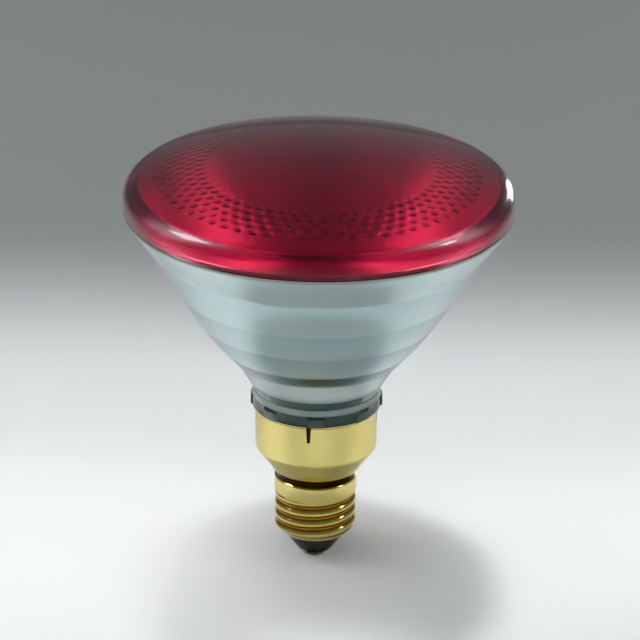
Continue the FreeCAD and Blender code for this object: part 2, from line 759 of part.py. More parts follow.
rods = [make_rod("lead_rod_left", "-1"), make_rod("lead_rod_right", "1")]
centre_wire = bent_wire("cap_wire_centre", [
    (f"-{FERRULE_X}", FERRULE_FOOT),
    (f"-{FERRULE_X}", f"{FERRULE_FOOT} - centre_wire_drop"),
    ("0", f"{FERRULE_FOOT} - centre_wire_drop - centre_wire_slant"),
    ("0", "drop_depth"),
], "wire_radius", "wire_bend")
shell_wire_x = f"({WAIST} - shell_wall - wire_radius - wire_clearance)"
shell_wire = bent_wire("cap_wire_shell", [
    (FERRULE_X, FERRULE_FOOT),
    (FERRULE_X, f"{FERRULE_FOOT} - shell_wire_drop"),
    (shell_wire_x, f"{FERRULE_FOOT} - shell_wire_drop - shell_wire_slant"),
    (shell_wire_x, f"{COLLAR_BOTTOM} + collar_height / 2"),
], "wire_radius", "wire_bend")
pieces = [
    make_lens(),
    make_reflector(),
    make_coating(),
    make_skirt(),
    make_screw_shell(),
    make_insulator(),
    make_contact(),
    make_contact_solder(),
    make_ferrule("ferrule_left", "-1"),
    make_ferrule("ferrule_right", "1"),
    make_exhaust_tip(),
    rods[0],
    rods[1],
    make_bridge(rods),
    make_filament(),
    make_support("support_wire_left", "-1"),
    make_support("support_wire_right", "1"),
    centre_wire,
    shell_wire,
    make_shell_solder(shell_wire),
]
doc.recompute()
wrong = faults(pieces)
if wrong:
    raise SystemExit("nothing was written: " + "; ".join(wrong))
os.makedirs("parts", exist_ok=True)
for piece in pieces:
    piece.Shape.exportStep(f"parts/{piece.Label}.step")
    print(f"{piece.Label:20s} volume {piece.Shape.Volume:.1f} mm3")
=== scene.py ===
import math
import bpy
import numpy as np
from mathutils import Matrix, Vector


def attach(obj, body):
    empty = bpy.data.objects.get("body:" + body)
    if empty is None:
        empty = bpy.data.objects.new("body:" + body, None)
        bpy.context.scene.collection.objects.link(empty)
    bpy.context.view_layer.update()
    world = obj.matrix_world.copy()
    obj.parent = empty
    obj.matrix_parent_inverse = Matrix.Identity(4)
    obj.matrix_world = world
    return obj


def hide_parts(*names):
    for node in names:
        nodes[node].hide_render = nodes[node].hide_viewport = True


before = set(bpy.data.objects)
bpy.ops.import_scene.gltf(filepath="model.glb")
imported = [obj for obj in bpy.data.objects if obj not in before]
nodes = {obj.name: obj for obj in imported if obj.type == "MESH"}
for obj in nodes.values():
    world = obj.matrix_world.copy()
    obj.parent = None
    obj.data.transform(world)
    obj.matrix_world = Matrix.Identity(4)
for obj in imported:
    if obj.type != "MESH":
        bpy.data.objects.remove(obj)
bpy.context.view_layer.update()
scene = bpy.context.scene
MM = 0.001

# Studio

# A pale floor under the cap's tip, a soft grey room and soft lights, none of it the lamp.
# Boxes light the floor, pools brighten spots of it that the silver and brass mirror,
# cards show in the polished rim, and glows shine through the lens.


def new_material(name):
    """An empty node material with its output and one Principled shader."""
    material = bpy.data.materials.new(name)
    material.use_nodes = True
    return material, material.node_tree.nodes, material.node_tree.links


def soft_box(name, place, target, width, height, watts, spread=180,
             floor=True, mirrors=False, inside=False):
    """A rectangular area light at a place, turned to face a target point.

    It lights the floor and plain surfaces, shows in mirrors, and shines through glass
    to the inside, each as told.
    """
    light = bpy.data.lights.new(name, "AREA")
    light.shape = "RECTANGLE"
    light.size = width
    light.size_y = height
    light.energy = watts
    light.color = (0.96, 0.98, 1.0)
    light.spread = math.radians(spread)
    holder = bpy.data.objects.new(name, light)
    aim = Vector(target) - Vector(place)
    holder.matrix_world = Matrix.Translation(place) @ aim.to_track_quat("-Z", "Y").to_matrix().to_4x4()
    holder.visible_diffuse = floor
    holder.visible_glossy = mirrors
    holder.visible_transmission = inside
    scene.collection.objects.link(holder)


FLOOR_REACH = 40.0
floor_corners = [(x * FLOOR_REACH, y * FLOOR_REACH, 0) for x, y in ((-1, -1), (1, -1), (1, 1), (-1, 1))]
floor_mesh = bpy.data.meshes.new("studio_floor")
floor_mesh.from_pydata(floor_corners, [], [(0, 1, 2, 3)])
floor = bpy.data.objects.new("studio_floor", floor_mesh)
scene.collection.objects.link(floor)
floor_paint, tree, wires = new_material("floor_paint")
tree["Principled BSDF"].inputs["Base Color"].default_value = (0.70, 0.70, 0.69, 1)
tree["Principled BSDF"].inputs["Roughness"].default_value = 0.7
floor_mesh.materials.append(floor_paint)

world = bpy.data.worlds.new("soft_room")
scene.world = world
world.use_nodes = True
world.node_tree.nodes["Background"].inputs["Color"].default_value = (0.80, 0.85, 0.88, 1)
world.node_tree.nodes["Background"].inputs["Strength"].default_value = 0.24
soft_box("top_box", (0, 0, 1.6), (0, 0.001, 0), 0.9, 0.9, 3.5)
soft_box("front_box", (0, 0.06, 0.9), (0, -0.12, 0), 0.60, 0.60, 0.95, 14)
soft_box("left_box", (-0.985, 0.174, 0.75), (0, 0, 0.1), 0.40, 0.80, 2.0)
soft_box("left_pool", (-0.40, -0.16, 0.30), (-0.112, -0.034, 0.0), 0.10, 0.10, 0.030, 14)
soft_box("near_pool", (-0.38, 0.03, 0.30), (-0.078, 0.004, 0.0), 0.10, 0.10, 0.030, 10)
soft_box("right_pool", (0.40, 0.03, 0.30), (0.080, 0.004, 0.0), 0.10, 0.10, 0.024, 10)
soft_box("front_pool", (0, -0.42, 0.30), (0, -0.120, 0.0), 0.07, 0.07, 0.045, 9)
soft_box("left_card", (-0.945, 0.10, 0.92), (0, 0, 0.1), 0.34, 0.40, 3.1, floor=False, mirrors=True)
soft_box("left_glow", (-0.992, 0.12, 0.80), (0, 0, 0.1), 0.60, 1.10, 16.0, floor=False, inside=True)
soft_box("right_card", (0.9, -0.05, 0.70), (0, 0, 0.1), 0.14, 0.16, 0.8, floor=False, mirrors=True)
soft_box("right_glow", (0.992, 0.12, 0.80), (0, 0, 0.1), 0.60, 1.10, 16.0, floor=False, inside=True)
soft_box("rim_card", (0.42, 0.78, 0.17), (0, 0, 0.1), 0.20, 0.30, 1.0, floor=False, mirrors=True)
scene.view_settings.view_transform = "Khronos PBR Neutral"

# Camera

# It stands in front of the lamp, well above it, with a long lens, as the
# photograph was taken.
LOOK_AT = Vector((0, 0, 76.7 * MM))
DISTANCE = 1.2
ELEVATION = math.radians(23.66)
LEAN = math.radians(0.73)
SENSOR = 36.0
FRAME_PIXELS = 640
PIXELS_PER_RADIAN = 3838.0
camera_data = bpy.data.cameras.new("camera")
camera_data.sensor_width = SENSOR
camera_data.lens = SENSOR * PIXELS_PER_RADIAN / FRAME_PIXELS
camera_data.shift_x = 0.0041
camera_data.shift_y = 0.0125
camera = bpy.data.objects.new("camera", camera_data)
away = Vector((0, -math.cos(ELEVATION), math.sin(ELEVATION)))
facing = (-away).to_track_quat("-Z", "Y").to_matrix().to_4x4()
camera.matrix_world = Matrix.Translation(LOOK_AT + DISTANCE * away) @ facing @ Matrix.Rotation(LEAN, 4, "Z")
scene.collection.objects.link(camera)
scene.camera = camera

# Pressed glass reflector

# The bowl, neck, bead and spigot are one pressing of clear hard glass. Its outside
# has four stepped bands; eight small bosses stand on the bead, and four keys on the
# spigot lock the brass skirt.


def profile(points, softness, on_axis=False, step=0.0001, wide=0.0022, turn=math.radians(7), dense=None):
    """The rows of a turned skin: a profile through the points, softened at its corners.

    The outline is resampled at an even step and each point is moved to the Gaussian
    mean of its neighbours within the softness. Points are then kept at equal steps of
    (length / wide + turning angle / turn), so that they crowd where it bends, and
    also of (length / spacing) wherever dense = (test of r and z, spacing) holds. An
    outline that starts and ends on the axis is mirrored across it while it is softened.
    All lengths are in metres.
    """
    points = np.asarray(points, float)
    if on_axis:
        points = np.vstack([points, (points * (-1, 1))[-2:0:-1]])
    ring = np.vstack([points, points[:1]])
    along = np.concatenate([[0], np.cumsum(np.hypot(*np.diff(ring, axis=0).T))])
    places = np.arange(0, along[-1], step)
    fine = np.column_stack([np.interp(places, along, ring[:, 0]), np.interp(places, along, ring[:, 1])])
    spread = int(4 * softness / step) + 1
    offsets = np.arange(-spread, spread + 1)
    weights = np.exp(-0.5 * (offsets * step / softness) ** 2)
    weights /= weights.sum()
    padded = np.vstack([fine[-spread:], fine, fine[:spread]])
    fine = np.column_stack([np.convolve(padded[:, k], weights, "valid") for k in (0, 1)])
    ahead = np.roll(fine, -1, axis=0) - fine
    heading = np.arctan2(ahead[:, 1], ahead[:, 0])
    bend = np.abs((np.roll(heading, -1) - heading + np.pi) % (2 * np.pi) - np.pi)
    length = np.hypot(*ahead.T)
    measure = length / wide + bend / turn
    if dense:
        measure += np.where(dense[0](fine[:, 0], fine[:, 1]), length / dense[1], 0)
    total = np.concatenate([[0], np.cumsum(measure)])
    marks = np.linspace(0, total[-1], int(total[-1]) + 1)[:-1]
    kept = fine[np.unique(np.searchsorted(total, marks).clip(0, len(fine) - 1))]
    if on_axis:
        inside = kept[kept[:, 0] > 2 * step]
        kept = np.vstack([(0, inside[0, 1]), inside, (0, inside[-1, 1])])
    return kept[:, 0], kept[:, 1]


def bowed(start, end, bow, count=12):
    """Points from start up to end along a parabola that stands bow to its right at its middle.

    Beside the straight run it lies four times the bow, times the share of the way that
    is done, times the share that is left.
    """
    t = np.linspace(0, 1, count, endpoint=False)[:, None]
    start, end = np.asarray(start, float), np.asarray(end, float)
    run = end - start
    side = np.array([run[1], -run[0]]) / np.hypot(*run)
    return start + run * t + side * 4 * bow * t * (1 - t)


def put_mesh(name, points, faces, sharp=None):
    """A smooth-shaded piece from points and faces, creased where it turns more than sharp."""
    mesh = bpy.data.meshes.new(name)
    mesh.from_pydata(points.reshape(-1, 3).tolist(), [], faces)
    mesh.shade_smooth()
    if sharp:
        mesh.set_sharp_from_angle(angle=sharp)
    piece = bpy.data.objects.new(name, mesh)
    scene.collection.objects.link(piece)
    return piece


def turned(name, radius, height, angles, on_axis=False, sharp=None):
    """A skin turned about the axis, from radii and heights over (row) or (row, column).

    x is the radius times the angle's cosine, y is the radius times its sine, and z is
    the height. The skin closes on itself round the axis. Its rows close on themselves
    too, or, on the axis, its first and last rows are single points.
    """
    radius = radius if radius.ndim == 2 else radius[:, None]
    height = height if height.ndim == 2 else height[:, None]
    shape = np.broadcast_shapes(radius.shape, height.shape, (1, len(angles)))
    radius, height = np.broadcast_to(radius, shape), np.broadcast_to(height, shape)
    points = np.stack([radius * np.cos(angles), radius * np.sin(angles), height], axis=-1)
    if on_axis:
        ends, points = points[[0, -1], 0], points[1:-1]
    rows, columns = points.shape[:2]
    index = np.arange(rows * columns).reshape(rows, columns)
    low, high = (index[:-1], index[1:]) if on_axis else (index, np.roll(index, -1, axis=0))
    faces = np.stack([low, np.roll(low, -1, axis=1), np.roll(high, -1, axis=1), high], axis=-1)
    faces = faces.reshape(-1, 4).tolist()
    points = points.reshape(-1, 3)
    if on_axis:
        count = len(points)
        points = np.vstack([points, ends])
        faces += [(b, a, count) for a, b in zip(index[0], np.roll(index[0], -1))]
        faces += [(a, b, count + 1) for a, b in zip(index[-1], np.roll(index[-1], -1))]
    return put_mesh(name, points, faces, sharp)


def even_angles(count):
    """Angles evenly round the axis, from straight in front."""
    return -np.pi / 2 + np.arange(count) * 2 * np.pi / count


def window(value, low, high, edge):
    """1 between low and high, falling smoothly to 0 over an edge on either side.

    The fall is three times the square less twice the cube of the share of the edge.
    """
    rise = np.clip((value - low) / edge + 0.5, 0, 1)
    fall = np.clip((high - value) / edge + 0.5, 0, 1)
    return (rise * rise * (3 - 2 * rise)) * (fall * fall * (3 - 2 * fall))


def uneven_surface():
    """The node group behind every finish: one noise gives a tone, a gloss and a relief.

    Colour = mix of Colour A and Colour B, Roughness between Rough Low and Rough High,
    and Normal bent by the noise as a relief of the given Strength and Depth.
    """
    group = bpy.data.node_groups.new("uneven_surface", "ShaderNodeTree")
    for label, kind in (("Scale", "Float"), ("Detail", "Float"), ("Colour A", "Color"), ("Colour B", "Color"),
                        ("Rough Low", "Float"), ("Rough High", "Float"), ("Strength", "Float"),
                        ("Depth", "Float")):
        group.interface.new_socket(label, in_out="INPUT", socket_type="NodeSocket" + kind)
    for label, kind in (("Colour", "Color"), ("Roughness", "Float"), ("Normal", "Vector")):
        group.interface.new_socket(label, in_out="OUTPUT", socket_type="NodeSocket" + kind)
    tree, wires = group.nodes, group.links
    given, put = tree.new("NodeGroupInput"), tree.new("NodeGroupOutput")
    place = tree.new("ShaderNodeTexCoord")
    noise = tree.new("ShaderNodeTexNoise")
    wires.new(place.outputs["Object"], noise.inputs["Vector"])
    wires.new(given.outputs["Scale"], noise.inputs["Scale"])
    wires.new(given.outputs["Detail"], noise.inputs["Detail"])
    tone = tree.new("ShaderNodeMix")
    tone.data_type = "RGBA"
    wires.new(noise.outputs["Fac"], tone.inputs["Factor"])
    wires.new(given.outputs["Colour A"], tone.inputs["A"])
    wires.new(given.outputs["Colour B"], tone.inputs["B"])
    wires.new(tone.outputs["Result"], put.inputs["Colour"])
    gloss = tree.new("ShaderNodeMapRange")
    gloss.inputs["From Min"].default_value = 0.25
    gloss.inputs["From Max"].default_value = 0.75
    gloss.clamp = False
    wires.new(noise.outputs["Fac"], gloss.inputs["Value"])
    wires.new(given.outputs["Rough Low"], gloss.inputs["To Min"])
    wires.new(given.outputs["Rough High"], gloss.inputs["To Max"])
    wires.new(gloss.outputs["Result"], put.inputs["Roughness"])
    relief = tree.new("ShaderNodeBump")
    wires.new(noise.outputs["Fac"], relief.inputs["Height"])
    wires.new(given.outputs["Strength"], relief.inputs["Strength"])
    wires.new(given.outputs["Depth"], relief.inputs["Distance"])
    wires.new(relief.outputs["Normal"], put.inputs["Normal"])
    return group


surface_group = uneven_surface()


def finish(name, tones, rough, scale, detail=3, relief=(0.15, 0.0002), metallic=0.0):
    """A material with the uneven surface: two tones, a low and a high roughness, a relief."""
    material, tree, wires = new_material(name)
    shader = tree["Principled BSDF"]
    shader.inputs["Metallic"].default_value = metallic
    uneven = tree.new("ShaderNodeGroup")
    uneven.name = "uneven"
    uneven.node_tree = surface_group
    values = (scale, detail, (*tones[0], 1), (*tones[1], 1), *rough, *relief)
    for socket, value in zip(uneven.inputs, values):
        socket.default_value = value
    wires.new(uneven.outputs["Colour"], shader.inputs["Base Color"])
    wires.new(uneven.outputs["Roughness"], shader.inputs["Roughness"])
    wires.new(uneven.outputs["Normal"], shader.inputs["Normal"])
    return material, tree, wires


def feed(wires, socket, given):
    """Joins a socket to another node's output, or sets it to a plain value."""
    if isinstance(given, bpy.types.NodeSocket):
        wires.new(given, socket)
    else:
        socket.default_value = given


def mixed(tree, wires, under, over, share, blend="MIX"):
    """The colour where a share of the over colour lies on the under colour."""
    mix = tree.new("ShaderNodeMix")
    mix.data_type = "RGBA"
    mix.blend_type = blend
    for label, given in (("A", under), ("B", over), ("Factor", share)):
        feed(wires, mix.inputs[label], given)
    return mix.outputs["Result"]


def worked(tree, wires, kind, operation, *inputs, result="Value"):
    """The result of a Math or VectorMath node, fed by sockets or plain values."""
    node = tree.new("ShaderNode" + kind)
    node.operation = operation
    for socket, given in zip(node.inputs, inputs):
        feed(wires, socket, given)
    return node.outputs[result]


def rising(tree, wires, value, low, high):
    """0 where the value is below low and 1 above high, in a straight line between."""
    span = tree.new("ShaderNodeMapRange")
    span.inputs["From Min"].default_value = low
    span.inputs["From Max"].default_value = high
    wires.new(value, span.inputs["Value"])
    return span.outputs["Result"]


def place_on_lamp(tree, wires):
    """The surface's texture coordinates, its height, and its arm out from the axis."""
    place = tree.new("ShaderNodeTexCoord")
    parts = tree.new("ShaderNodeSeparateXYZ")
    wires.new(place.outputs["Object"], parts.inputs["Vector"])
    arm = worked(tree, wires, "VectorMath", "MULTIPLY", place.outputs["Object"], (1, 1, 0), result="Vector")
    return place, parts.outputs["Z"], arm


def toned_by_height(tree, wires, height, low, high, stops):
    """A colour that runs through the stops (height in mm, red, green, blue) from low to high mm."""
    tones = tree.new("ShaderNodeValToRGB")
    wires.new(rising(tree, wires, height, low * MM, high * MM), tones.inputs["Fac"])
    steps = tones.color_ramp.elements
    for k, (level_mm, *colour) in enumerate(stops):
        share = (level_mm - low) / (high - low)
        step = steps[k] if k < 2 else steps.new(share)
        step.position = share
        step.color = (*colour, 1)
    return tones.outputs["Color"]


# Heights and radii of the pressing, in millimetres.
SPIGOT_FOOT = 43.5
SPIGOT_RADIUS = 18.65
SPIGOT_BORE = 14.8
BEAD_FOOT = 51.5
BEAD_TOP = 55.5
BEAD_RADIUS = 20.35
THROAT = 57.5
FLOOR_UNDER = 57.5
FLOOR_TOP = 61.5
FLOOR_RADIUS = 17.0
POCKET_TOP = 66.5
POCKET_RADIUS = 20.3
VERTEX = 60.5
FOCAL_LENGTH = 13.5
BOWL_FOOT = 26.5
BOWL_MOUTH = 55.7
FLANGE_FOOT = 117.05
FLANGE_RADIUS = 60.45
SEAL = 118.1
SEAL_GAP = 0.03
bowl_radius = np.linspace(BOWL_MOUTH, BOWL_FOOT, 60)
bowl_height = VERTEX + bowl_radius ** 2 / (4 * FOCAL_LENGTH)
band_edges = [(19.95, THROAT), (25.7, 67.1), (31.05, 73.1), (38.0, 82.5), (44.7, 92.9), (51.6, 105.6),
              (FLANGE_RADIUS, FLANGE_FOOT)]
band_bows = [(-0.25, 12), (0, 2), (0.28, 12), (0.32, 12), (0.43, 12), (0.3, 12)]
glass_outline = np.vstack([
    [(0, FLOOR_UNDER), (SPIGOT_BORE, FLOOR_UNDER), (SPIGOT_BORE, SPIGOT_FOOT)],
    [(SPIGOT_RADIUS, SPIGOT_FOOT), (SPIGOT_RADIUS, BEAD_FOOT)],
    [(BEAD_RADIUS, BEAD_FOOT), (BEAD_RADIUS, BEAD_TOP)],
    *[bowed(low, high, *bow) for low, high, bow in zip(band_edges, band_edges[1:], band_bows)],
    [(FLANGE_RADIUS, FLANGE_FOOT), (FLANGE_RADIUS, SEAL - SEAL_GAP), (BOWL_MOUTH + 0.05, SEAL - SEAL_GAP)],
    np.column_stack([bowl_radius[1:], bowl_height[1:]]),
    [(POCKET_RADIUS, POCKET_TOP), (FLOOR_RADIUS, FLOOR_TOP), (0, FLOOR_TOP)],
]) * MM


def near_bead(r, z):
    """Whether a point is outside on the bead, where the rows lie closer for its bosses."""
    return (z > (BEAD_FOOT - 0.5) * MM) & (z < (BEAD_TOP + 0.5) * MM) & (r > 18.0 * MM)


glass_r, glass_z = profile(glass_outline, 0.00022, on_axis=True, dense=(near_bead, 0.0003))

# Eight bosses on the bead, and four keys on the spigot a little off every second boss.
# Their heights and rise are in millimetres, their half widths and sides in radians.
BOSS_TOP = 54.9
KEY_FOOT = 48.9
KEY_TOP = 51.4
RISE = 0.45
END_EDGE = 0.6
BOSS_HALF, BOSS_SIDE = 0.131, 0.014
KEY_HALF, KEY_SIDE = 0.0215, 0.007
KEY_OFFSET = np.radians(7)
eighths = np.radians(45) * np.arange(8)[:, None]
boss_columns = eighths + np.radians([-8.1, -7.7, -7.3, -6.9, 6.9, 7.3, 7.7, 8.1])
key_columns = 2 * eighths[:4] - KEY_OFFSET + np.radians([-1.5, -1.3, -1.1, 1.1, 1.3, 1.5])
glass_angles = np.concatenate([np.arange(288) * np.pi / 144, boss_columns.ravel(), key_columns.ravel()])
glass_angles = np.unique(np.round(glass_angles % (2 * np.pi), 5))
off_boss = (glass_angles + np.pi / 8) % (np.pi / 4) - np.pi / 8
off_key = (glass_angles + KEY_OFFSET + np.pi / 4) % (np.pi / 2) - np.pi / 4
level = glass_z[:, None]
boss_height = window(level, BEAD_FOOT * MM, BOSS_TOP * MM, END_EDGE * MM)
key_height = window(level, KEY_FOOT * MM, KEY_TOP * MM, END_EDGE * MM)
boss = boss_height * window(off_boss, -BOSS_HALF, BOSS_HALF, BOSS_SIDE)
key = key_height * window(off_key, -KEY_HALF, KEY_HALF, KEY_SIDE)
boss = boss * (glass_r > 20.0 * MM)[:, None]
key = key * ((glass_r > 18.3 * MM) & (glass_r < 19.2 * MM))[:, None]
glass_r = glass_r[:, None] + RISE * MM * (boss + key)
reflector = turned("pressed_glass_reflector", glass_r, glass_z, glass_angles - np.pi / 2, on_axis=True)
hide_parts("reflector")
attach(reflector, "root")

glass, tree, wires = finish("clear_pressed_glass", ((0.86, 0.95, 0.92), (0.89, 0.965, 0.94)),
                            (0.015, 0.07), 60, 1, (0.10, 0.0004))
shader = tree["Principled BSDF"]
shader.inputs["Transmission Weight"].default_value = 1.0
shader.inputs["IOR"].default_value = 1.47
reflector.data.materials.append(glass)

# Where the film lies behind the glass, the outside of the bands shows as one silver
# surface under the glass's own polish. Painted shade runs down the bands: each is darker
# under the edge above it, and the thick corner under the fourth edge is darkest of all.
# The neck below is painted light, a pale white that is not metal, with painted shade at its foot, and the
# seal at the top is a warm grey.
SILVER_FOOT = 60.8
NECK_TOP = 68.0
SILVER_SPAN = (60, 120)
backed, tree, wires = finish("silver_backed_glass", ((0.68, 0.82, 0.81), (0.75, 0.88, 0.87)),
                             (0.17, 0.27), 38, 3, (0.02, 0.00005), 1.0)
shader = tree["Principled BSDF"]
shader.inputs["Coat Weight"].default_value = 0.6
shader.inputs["Coat Roughness"].default_value = 0.04
height = place_on_lamp(tree, wires)[1]
# Painted shade: a ramp over height that darkens the silver at the top of each band and under the fourth edge.
band_shade_levels = [(SILVER_FOOT, 0.55), (61.6, 0.80), (63.0, 1.0), (67.6, 1.0), (68.6, 0.70),
                 (69.4, 0.22), (72.4, 0.14), (73.0, 0.5), (73.5, 1.0), (76.0, 0.92),
                 (81.8, 0.68), (82.7, 1.0), (85.5, 0.93), (92.2, 0.76), (93.1, 1.0),
                 (97.0, 0.95), (104.9, 0.84), (105.8, 1.0), (110.0, 0.92), (116.4, 0.90)]
stops = [(level_mm, value ** 1.3, value, value ** 0.85) for level_mm, value in band_shade_levels]
stops += [(level_mm, 0.62, 0.50, 0.47) for level_mm in (117.15, 118.0)]
painted_band_ramp = toned_by_height(tree, wires, height, *SILVER_SPAN, stops)
# Painted light: below the neck's top the glass is a pale white that is not metal.
above_neck = rising(tree, wires, height, NECK_TOP * MM, (NECK_TOP + 1.2) * MM)
body = mixed(tree, wires, (0.89, 0.98, 0.96, 1), tree["uneven"].outputs["Colour"], above_neck)
wires.new(mixed(tree, wires, body, painted_band_ramp, 1.0, "MULTIPLY"), shader.inputs["Base Color"])
wires.new(above_neck, shader.inputs["Metallic"])
reflector.data.materials.append(backed)

# The bead and its bosses are the thickest glass: greenish and a little cloudy. Painted
# shade darkens it at the foot and under the throat, with a painted highlight line between.
BEAD_SPAN = (50, 62)
thick_glass, tree, wires = finish("thick_bead_glass", ((0.74, 0.88, 0.82), (0.82, 0.93, 0.88)),
                                  (0.03, 0.08), 90, 2, (0.08, 0.0004))
shader = tree["Principled BSDF"]
shader.inputs["Transmission Weight"].default_value = 0.12
shader.inputs["IOR"].default_value = 1.47
shader.inputs["Coat Weight"].default_value = 0.3
shader.inputs["Coat Roughness"].default_value = 0.03
height, arm = place_on_lamp(tree, wires)[1:]
# Painted shade at the foot and under the throat, and a painted highlight line between them.
bead_shade_and_highlight_levels = [(BEAD_FOOT, 0.05), (53.0, 0.10), (55.2, 0.16), (55.7, 0.95),
               (57.0, 1.0), (57.5, 0.12), (59.6, 0.09), (60.2, 0.55)]
stops = [(level_mm, value ** 1.1, value, value ** 1.05) for level_mm, value in bead_shade_and_highlight_levels]
painted_bead_ramp = toned_by_height(tree, wires, height, *BEAD_SPAN, stops)
body = mixed(tree, wires, tree["uneven"].outputs["Colour"], painted_bead_ramp, 1.0, "MULTIPLY")
reach = worked(tree, wires, "VectorMath", "LENGTH", arm)
on_boss = rising(tree, wires, reach, (BEAD_RADIUS + 0.05) * MM, (BEAD_RADIUS + 0.35) * MM)
wires.new(mixed(tree, wires, body, (0.075, 0.115, 0.10, 1), on_boss), shader.inputs["Base Color"])
reflector.data.materials.append(thick_glass)

# The rows of faces outside, from the spigot's foot to the seal, take their own glass.
CLEAR, SILVERED, THICK = 0, 1, 2
seal_row = int(np.argmax(glass_z))
row_level = 0.5 * (glass_z[1:-2] + glass_z[2:-1])
row_reach = 0.5 * (glass_r[1:-2, 0] + glass_r[2:-1, 0])
outer_row = np.arange(len(row_level)) < seal_row
row_slot = np.where(outer_row & (row_level > SILVER_FOOT * MM), SILVERED, CLEAR)
on_bead = (row_level > BEAD_FOOT * MM) & (row_level < SILVER_FOOT * MM) & (row_reach > 19 * MM)
row_slot[outer_row & on_bead] = THICK
slots = np.zeros(len(reflector.data.polygons), dtype=np.int32)
slots[:len(row_level) * len(glass_angles)] = np.repeat(row_slot, len(glass_angles))
reflector.data.polygons.foreach_set("material_index", slots)

# Aluminium film

# Aluminium is evaporated on the inside of the bowl and down the wall of the pocket.
# It is the lamp's mirror, and seen through the glass it makes the outside silver. It is
# drawn a little into the glass, so that no gap shows between them.
FILM_SUNK = 0.03
FILM_PROUD = 0.12
film_radius = np.linspace(BOWL_MOUTH - 0.02, BOWL_FOOT, 50)
film_height = VERTEX + film_radius ** 2 / (4 * FOCAL_LENGTH)
film_outline = np.vstack([
    np.column_stack([film_radius, film_height - FILM_SUNK]),
    [(POCKET_RADIUS + 0.02, POCKET_TOP - 0.02), (FLOOR_RADIUS + 0.05, FLOOR_TOP + 0.02)],
    [(FLOOR_RADIUS - 0.15, FLOOR_TOP + 0.03), (POCKET_RADIUS - 0.15, POCKET_TOP + 0.05)],
    np.column_stack([film_radius[::-1], film_height[::-1] + FILM_PROUD]),
]) * MM
film_r, film_z = profile(film_outline[::-1], 0.00003, step=0.00004)
film = turned("aluminium_film", film_r, film_z, even_angles(256), sharp=math.radians(40))
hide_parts("reflector_coating")
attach(film, "root")

silver = finish("evaporated_aluminium", ((0.78, 0.84, 0.84), (0.84, 0.87, 0.87)), (0.32, 0.44), 70,
                metallic=1.0)[0]
film.data.materials.append(silver)

# Red lens

# A pressed lens of ruby glass: a shallow dome with a rounded rim, sealed on the
# bowl's flange. Rings of small pressed lenslets on its inner face scatter the beam.
RIM = 5.2
RIM_CENTRE = 55.3
RIM_LAND = 3.3
DOME = 190.0
INNER_DOME = DOME - 3.2
RINGS = 5
FIRST_RING = 36.8
RING_STEP = 2.9
RING_SPAN = (35.2, 50.5)
LENSLETS = 62
LENSLET_LIFT = 0.24
LENSLET_RADIUS = 1.4
dome_centre = SEAL + RIM_LAND - math.sqrt((DOME - RIM) ** 2 - RIM_CENTRE ** 2)
tilt = math.asin(RIM_CENTRE / (DOME - RIM))
rim_turn = np.linspace(0, np.pi / 2 - tilt, 14)
dome_turn = np.linspace(tilt, 0, 60)
inner_turn = np.linspace(0, math.asin(RIM_CENTRE / INNER_DOME), 120)
lens_outline = np.vstack([
    np.column_stack([INNER_DOME * np.sin(inner_turn), dome_centre + INNER_DOME * np.cos(inner_turn)]),
    [(RIM_CENTRE, SEAL + SEAL_GAP), (RIM_CENTRE + RIM, SEAL + SEAL_GAP)],
    np.column_stack([RIM_CENTRE + RIM * np.cos(rim_turn), SEAL + RIM_LAND + RIM * np.sin(rim_turn)]),
    np.column_stack([DOME * np.sin(dome_turn), dome_centre + DOME * np.cos(dome_turn)])[1:],
]) * MM


def in_lenslet_ring(r, z):
    """Whether a point is on the lens's inner face, between the radii where the lenslets are."""
    inner_face = dome_centre * MM + np.sqrt((INNER_DOME * MM) ** 2 - r ** 2)
    return (z < inner_face + 0.8 * MM) & (r > RING_SPAN[0] * MM) & (r < RING_SPAN[1] * MM)


lens_r, lens_z = profile(lens_outline, 0.0002, on_axis=True, dense=(in_lenslet_ring, 0.0004))
lens_angles = even_angles(LENSLETS * 9)
across = lens_r[:, None] + 0 * lens_angles
lift = np.zeros_like(across)
pitch = 2 * np.pi / LENSLETS
for ring in range(RINGS):
    ring_radius = (FIRST_RING + RING_STEP * ring) * MM
    around = (lens_angles + np.pi / 2 + 0.5 * pitch * (ring % 2) + pitch / 2) % pitch - pitch / 2
    apart = np.hypot(across - ring_radius, ring_radius * around)
    lift = np.maximum(lift, np.clip(1 - (apart / (LENSLET_RADIUS * MM)) ** 2, 0, 1))
lift = lift * in_lenslet_ring(lens_r, lens_z)[:, None]
lens = turned("red_lens", lens_r, lens_z[:, None] - LENSLET_LIFT * MM * lift, lens_angles, on_axis=True)
thickness = lens.data.attributes.new("lenslet", "FLOAT", "POINT")
thickness.data.foreach_set("value", np.append(lift[1:-1].ravel() ** 0.5, [0, 0]).astype(np.float32))
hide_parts("lens")
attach(lens, "root")

ruby, tree, wires = finish("ruby_pressed_glass", ((0.68, 0.14, 0.215), (0.77, 0.16, 0.25)),
                           (0.16, 0.23), 45, 2, (0.06, 0.0004))
shader = tree["Principled BSDF"]
shader.inputs["Transmission Weight"].default_value = 1.0
shader.inputs["IOR"].default_value = 1.49
shader.inputs["Coat Weight"].default_value = 1.0
shader.inputs["Coat Roughness"].default_value = 0.03
lenslet_mask = tree.new("ShaderNodeAttribute")
lenslet_mask.attribute_name = "lenslet"
body = mixed(tree, wires, tree["uneven"].outputs["Colour"], (0.36, 0.07, 0.12, 1),
             lenslet_mask.outputs["Fac"])
wires.new(body, shader.inputs["Base Color"])
lens.data.materials.append(ruby)

# Screw shell

